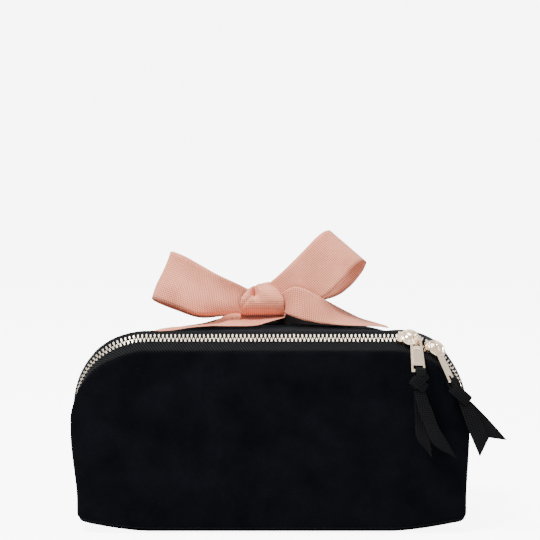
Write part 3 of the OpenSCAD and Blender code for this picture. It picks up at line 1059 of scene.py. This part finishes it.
def tassel(number):
    body = "tassel_%d" % number
    eye = Vector(JOINTS[body + "_swing"]["pos_m"])
    _, bar, down, face = pull_axes(number)
    black = MATS["black"]
    middle = eye + (down * 1.4 + bar * LOOP_SHIFT[number]) * MM
    parts = [band("loop", middle, bar, face, down, (1.7, 3.4), 6.6, black)]
    for place, (along_x, along_z), radii, width in KNOT_WRAPS[number]:
        slant = Vector((along_x, 0, along_z)).normalized()
        rise = Vector((-along_z, 0, along_x)).normalized()
        parts.append(band("wrap", Vector(place) * MM, rise, slant, FORWARD, radii, width, black,
                          wobble=0.05))
    knot = joined("tassel_%d_knot_ribbon" % number, parts)
    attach(knot, body)
    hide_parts(body + "_knot")
    for key in "ab":
        edges = TAIL_EDGES[(number, key)]
        piece = ribbon("tassel_%d_tail_%s_ribbon" % (number, key), edges, black, steps=10, across=8,
                       cup=0.6 if key == "a" else -0.6, thick=0.4)
        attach(piece, body)
        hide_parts("%s_tail_%s" % (body, key))


# ---------------- bow
# The two edges of each part of the bow, from the knot out, in mm. A loop comes back behind itself.
LEFT_LOOP = [
    ((-13, -5, 151), (-15.7, -7, 135.3)), ((-22, -9, 155.8), (-24.7, -11, 136.4)),
    ((-34, -12, 161.6), (-37.7, -14, 135.4)), ((-45.5, -11, 168), (-48.7, -13.5, 135.8)),
    ((-55.3, -8, 173.2), (-61.8, -10, 140.4)), ((-62.5, -4, 175.8), (-73.2, -4.5, 144.3)),
    ((-65, 0, 175.6), (-77.3, 0, 145.2)), ((-64, 4, 174.2), (-75, 4.5, 142.1)),
    ((-56.6, 9, 170), (-62.7, 10, 136.4)), ((-43.5, 10, 163), (-46.3, 12, 130.9)),
    ((-25, 8, 154.6), (-29, 9, 132.6)), ((-13, 4, 150), (-15.8, 5, 134.8)),
]
RIGHT_LOOP = [
    ((-1.3, -5, 154.8), (6.5, -8, 138.7)), ((5.9, -9, 161.3), (20.8, -12, 142.4)),
    ((13, -11, 168.3), (34.4, -14, 146.5)), ((22.7, -12, 178.2), (47.4, -13, 158.1)),
    ((29.9, -10, 185.6), (53.3, -11, 165.2)), ((33.9, -6, 188.4), (57.6, -6, 168.8)),
    ((37, -2, 189.6), (61, -2, 169.9)), ((39.4, 2, 189.2), (62.9, 2, 169)),
    ((38.6, 7, 186.6), (63, 6.5, 166.4)), ((32, 11, 182), (60, 12, 160)),
    ((22.4, 12, 173.5), (52.3, 15, 150.8)), ((11.9, 11, 163), (41.7, 15, 144.1)),
    ((1.3, 5, 153.6), (19.8, 9, 139.7)), ((-2.6, 2, 150.6), (7.9, 5, 136.1)),
]
RIGHT_TAIL = [
    ((1, -7, 147.5), (2, -7.5, 138)), ((5.9, -8, 148.6), (9.1, -9, 136.2)),
    ((11, -13, 151.9), (13, -14, 135)), ((16.2, -15, 154), (16.8, -17, 133.9)),
    ((22.7, -17, 152.6), (21.4, -19, 132.6)), ((29.1, -16.5, 149.3), (31, -21, 130.9)),
    ((34.4, -15, 146.2), (38.8, -21, 130)), ((45.6, -2, 139), (48.5, -21, 129.4)),
    ((58.9, 7, 131.6), (61.5, -19, 128.8)), ((69, 9, 128.3), (70.5, -17, 128.2)),
    ((77.3, 4, 126.2), (77.4, -13, 127)),
]
LEFT_TAIL = [
    ((10.5, 4, 134.4), (9.6, -10, 133.4)), ((0, 6, 134.2), (0, -17, 131.4)),
    ((-13, 7, 134.2), (-9.7, -21, 129.2)), ((-27, 6, 134), (-22.6, -25, 129.3)),
    ((-35, 1, 130.2), (-31, -27, 129.6)), ((-41, -4, 128.9), (-38.5, -29, 129.8)),
    ((-51.8, -13, 128.2), (-51.3, -33, 129.2)), ((-62.9, -24, 128.5), (-61, -39, 128.2)),
    ((-70.2, -35, 128.5), (-68.5, -42, 127.9)), ((-75, -42.4, 127.7), (-74.8, -43.2, 127.5)),
]
KNOT_THICK = 0.4 * MM


def pink(name, edges, cad, cup=0.0, roll=0.0):
    """A piece of the pink ribbon."""
    piece = ribbon(name, edges, MATS["pink"], steps=10, across=12, cup=cup, roll=roll)
    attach(piece, "root")
    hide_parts(cad)


KNOT_MIDDLE_Z, KNOT_HALF_HEIGHT = 144.2, 10.3
KNOT_FRONT, KNOT_BACK = 12.2, 9.6
KNOT_STEPS, KNOT_ACROSS = 96, 60


def hump(x):
    """A smooth hump: 1 at x = 0, near 0 beyond 2 on each side."""
    return math.exp(-x ** 2)


def bow_knot():
    """The band round the middle of the bow, with one pressed pleat at its upper front. Sizes in mm."""
    rows = []
    for k in range(KNOT_STEPS):
        a = 2 * math.pi * k / KNOT_STEPS
        front, top = math.cos(a), math.sin(a)
        upper = max(0.0, top)
        half = 14.2 - 7.2 * upper ** 1.6
        middle = -5.0 - 1.0 * upper
        near = hump((math.degrees(a) - 50) / 29)
        row = []
        for j in range(KNOT_ACROSS + 1):
            b = j / KNOT_ACROSS * 2 - 1
            puff = 1 - 0.10 * b ** 4 * (1 if top > 0 else 1 + top)
            slot = (b + 0.44 + 0.25 * (top - 0.75)) / (0.27 - 0.15 * upper)
            pleat = -6.5 * hump(slot) + 1.6 * hump((slot - 2.2) / 1.5) + 1.0 * hump((slot + 2.2) / 1.5)
            crease = -0.5 * hump((b + 0.72 - 0.5 * top) / 0.08) * max(0.0, front)
            grow = pleat * near + crease
            y = -front * ((KNOT_FRONT if front > 0 else KNOT_BACK) * puff + grow)
            z = KNOT_MIDDLE_Z + top * (KNOT_HALF_HEIGHT * puff + grow) + 1.9 * b * upper
            row.append(Vector((middle + half * b, y, z)) * MM)
        rows.append(row)
    piece = grid_piece("bow_knot_ribbon", rows, MATS["pink"], close_rows=True)
    thicken(piece, KNOT_THICK)
    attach(piece, "root")
    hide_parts("bow_knot")


# The black ribbon's arch: x, height of its rear edge and height of its front edge, in mm
ARCH = [(-52, 126.4, 126.8), (-43, 128, 127.6), (-34, 130.5, 128.2), (-29, 131.2, 128.4),
        (-20, 130.7, 128.4), (-6, 130.7, 128.4), (3, 131.2, 128.4), (10, 134.8, 128.4),
        (16, 133, 128.2), (22, 130.8, 128), (36, 128.3, 127.6), (53, 126.6, 126.8)]


def anchor_loop():
    """The black ribbon on the bag's top that the bow is tied through."""
    edges = [((x, 8, rear), (x, -8, front)) for x, rear, front in ARCH]
    piece = ribbon("anchor_loop_ribbon", edges, MATS["black"], steps=6, thick=0.5)
    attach(piece, "root")
    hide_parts("bow_anchor_loop")


def make_bow():
    bow_knot()
    anchor_loop()
    pink("bow_left_loop_ribbon", LEFT_LOOP, "bow_left_loop", roll=1.5)
    pink("bow_right_loop_ribbon", RIGHT_LOOP, "bow_right_loop")
    pink("bow_left_tail_ribbon", LEFT_TAIL, "bow_left_tail", 0.3)
    pink("bow_right_tail_ribbon", RIGHT_TAIL, "bow_right_tail", -0.6)


# ---------------- stage, light and camera
BACKDROP = 7.0              # how bright the floor and the world are to the camera alone
SHINE, AMBIENT = 0.8, 0.3   # the world's strength in reflections, and as light on everything
FLOOR_HALF = 8

# The long lens, the height that it aims at, how far off it stands and how steeply it looks down
LENS, AIM_HEIGHT, CAMERA_DISTANCE, CAMERA_PITCH = 143.6, 0.1679, 1.355, math.radians(4.5)

# Each soft light: place, size and power
LIGHTS = {
    "key": ((-0.6, -0.65, 1.6), (0.5, 0.5), 68),
    "fill": ((1.3, -1.2, 0.6), (0.8, 1.2), 8),
    "front": ((0.1, -1.7, 0.35), (1.2, 0.5), 4),
    "top": ((0.2, 0.2, 1.6), (0.8, 0.6), 14),
}


def make_camera():
    """Almost level with the bag, straight on to its front, with a long lens."""
    data = bpy.data.cameras.new("camera")
    data.lens = LENS
    data.clip_end = 20
    camera = linked("camera", data)
    back = Vector((0, -math.cos(CAMERA_PITCH), math.sin(CAMERA_PITCH)))
    camera.location = Vector((0, FOLD_Y, AIM_HEIGHT)) + back * CAMERA_DISTANCE
    camera.rotation_euler = (math.pi / 2 - CAMERA_PITCH, 0, 0)
    bpy.context.scene.camera = camera


def area_light(name, place, size, power):
    data = bpy.data.lights.new(name, "AREA")
    data.shape = "RECTANGLE"
    data.size, data.size_y = size
    data.energy = power
    lamp = linked(name, data)
    lamp.location = place
    aim = Vector((0, 0, 0.1)) - Vector(place)
    lamp.rotation_euler = aim.to_track_quat("-Z", "Y").to_euler()


def make_world():
    """Soft light from everywhere, brighter where metal reflects it, in front of a plain white sweep."""
    world = bpy.data.worlds.new("world")
    world.use_nodes = True
    tree = world.node_tree
    rays = tree.nodes.new("ShaderNodeLightPath").outputs
    soft = tree.nodes["Background"]
    soft.inputs["Color"].default_value = (1, 1, 1, 1)
    seen = maths(tree, "MULTIPLY", rays["Is Camera Ray"], BACKDROP)
    shine = maths(tree, "MULTIPLY", rays["Is Glossy Ray"], SHINE)
    extra = maths(tree, "ADD", seen, shine)
    tree.links.new(maths(tree, "ADD", extra, AMBIENT), soft.inputs["Strength"])
    bpy.context.scene.world = world


def make_stage():
    mat, tree = new_material("floor", Roughness=0.9, Specular_IOR_Level=0.1,
                             Base_Color=(0.85, 0.85, 0.85, 1), Emission_Color=(1, 1, 1, 1))
    seen = tree.nodes.new("ShaderNodeLightPath").outputs["Is Camera Ray"]
    feed(tree, "Emission Strength", maths(tree, "MULTIPLY", seen, BACKDROP))
    corners = [(x * FLOOR_HALF, y * FLOOR_HALF, 0) for x, y in ((-1, -1), (1, -1), (1, 1), (-1, 1))]
    floor = add_mesh("floor", corners, [(0, 1, 2, 3)], mat)
    make_world()
    for name, settings in LIGHTS.items():
        area_light(name, *settings)


def main():
    make_camera()
    front_velvet()
    body_velvet()
    body_lining()
    front_lining()
    body_foam()
    front_foam()
    base_board()
    make_zip()
    for number in (1, 2):
        slider_plates(number)
        slider_dome(number)
        pull_tab(number)
        tassel(number)
    make_bow()
    make_stage()


main()
